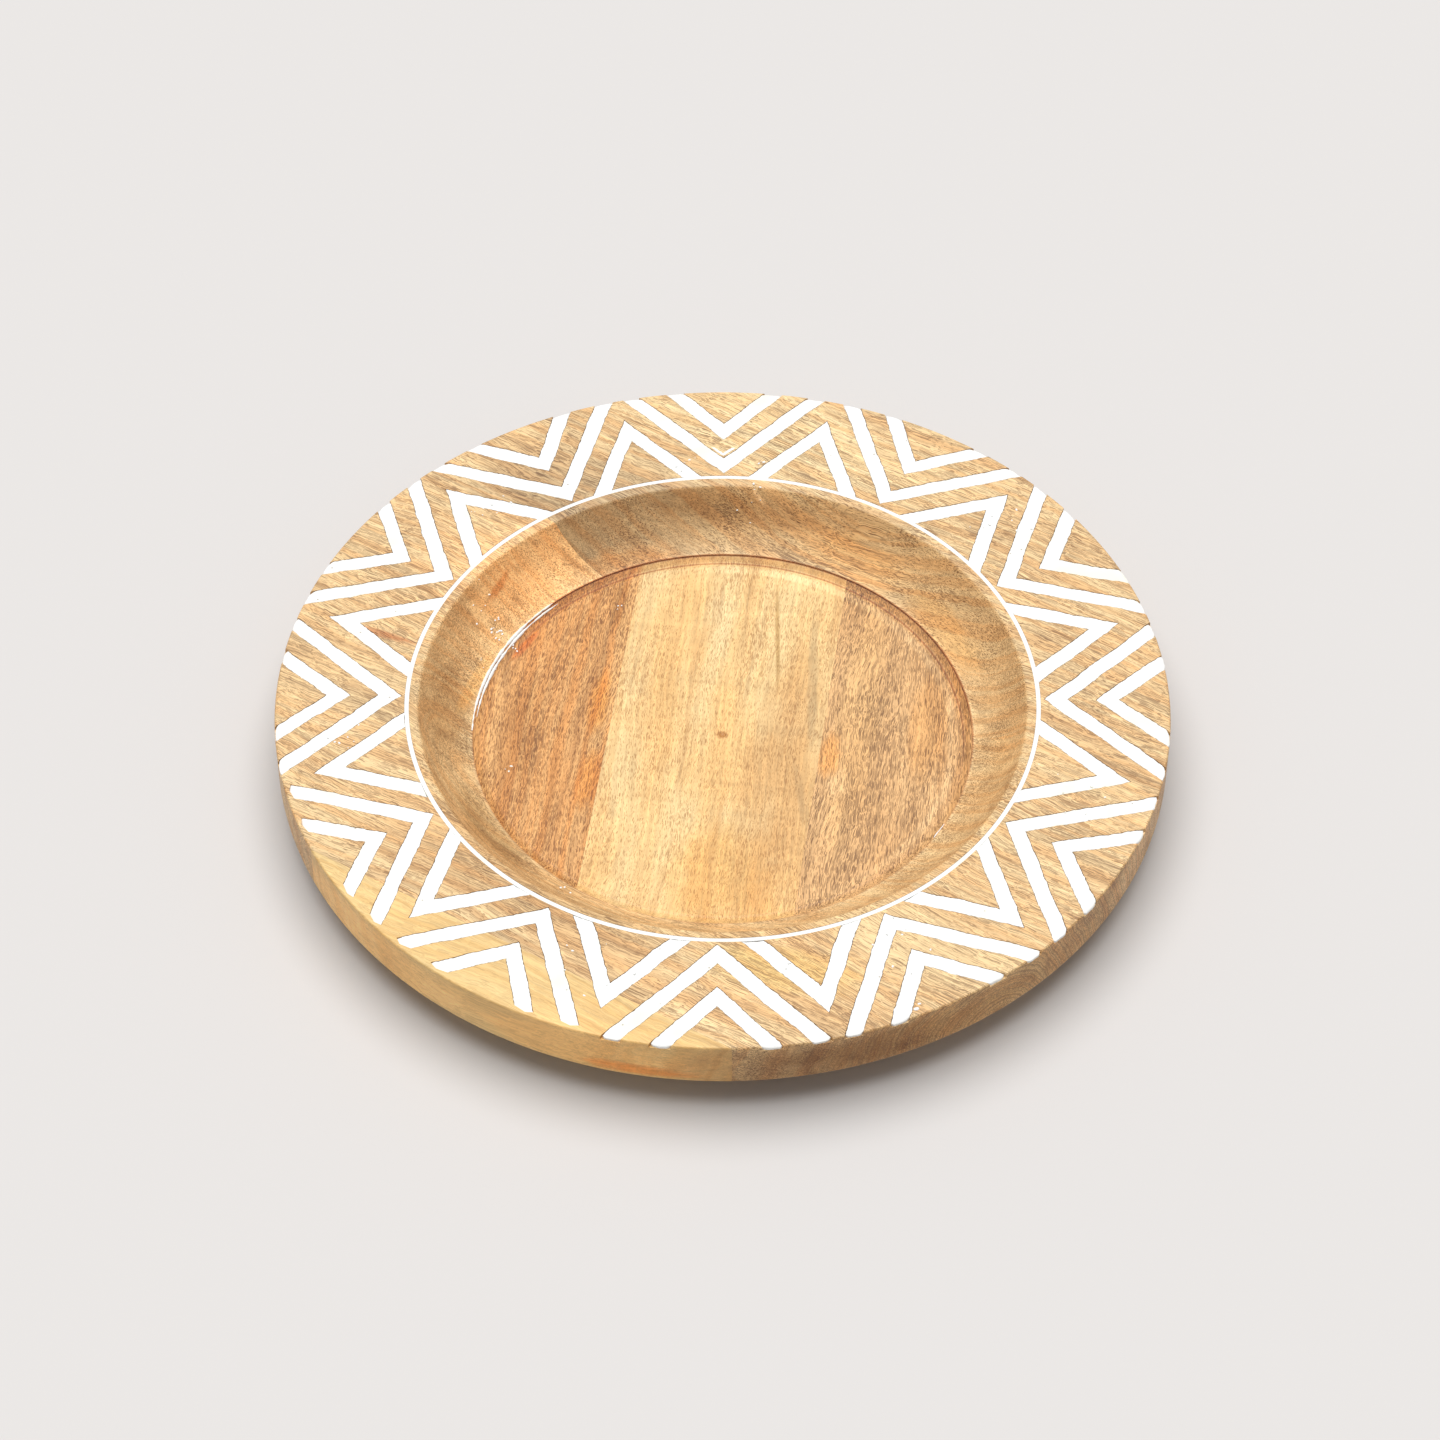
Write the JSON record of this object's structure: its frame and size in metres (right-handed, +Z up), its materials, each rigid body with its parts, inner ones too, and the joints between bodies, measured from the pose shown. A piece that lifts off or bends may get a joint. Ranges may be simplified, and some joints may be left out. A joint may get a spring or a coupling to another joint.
{
  "type": "carved wooden bowl",
  "caption": "Wide-rimmed shallow turned bowl glued up from boards, its rim carved with nested chevrons and tents filled with white paint.",
  "frame": {"origin": "centre of the foot's underside, on the surface that the bowl stands on", "axes": "+Z up along the turning axis, out of the well's mouth; -Y towards the side that faces the viewer, with the front glue line crossing the rim's edge there"},
  "size_m": [0.3, 0.3, 0.0295],
  "materials": {
    "rim_back_wood": "satin",
    "rim_middle_wood": "satin",
    "rim_front_wood": "satin",
    "base_left_wood": "satin",
    "base_centre_wood": "satin",
    "base_right_wood": "satin",
    "white_paint": "matte"
  },
  "bodies": {
    "root": {"rim_board_back": "rim_back_wood", "rim_board_middle": "rim_middle_wood", "rim_board_front": "rim_front_wood", "base_board_left": "base_left_wood", "base_board_centre": "base_centre_wood", "base_board_right": "base_right_wood", "ring_line": "white_paint", "outer_chevron_01": "white_paint", "outer_chevron_02": "white_paint", "outer_chevron_03": "white_paint", "outer_chevron_04": "white_paint", "outer_chevron_05": "white_paint", "outer_chevron_06": "white_paint", "outer_chevron_07": "white_paint", "outer_chevron_08": "white_paint", "outer_chevron_09": "white_paint", "outer_chevron_10": "white_paint", "outer_chevron_11": "white_paint", "outer_chevron_12": "white_paint", "middle_chevron_01": "white_paint", "middle_chevron_02": "white_paint", "middle_chevron_03": "white_paint", "middle_chevron_04": "white_paint", "middle_chevron_05": "white_paint", "middle_chevron_06": "white_paint", "middle_chevron_07": "white_paint", "middle_chevron_08": "white_paint", "middle_chevron_09": "white_paint", "middle_chevron_10": "white_paint", "middle_chevron_11": "white_paint", "middle_chevron_12": "white_paint", "tent_01": "white_paint", "tent_02": "white_paint", "tent_03": "white_paint", "tent_04": "white_paint", "tent_05": "white_paint", "tent_06": "white_paint", "tent_07": "white_paint", "tent_08": "white_paint", "tent_09": "white_paint", "tent_10": "white_paint", "tent_11": "white_paint", "tent_12": "white_paint"}
  },
  "joints": []
}
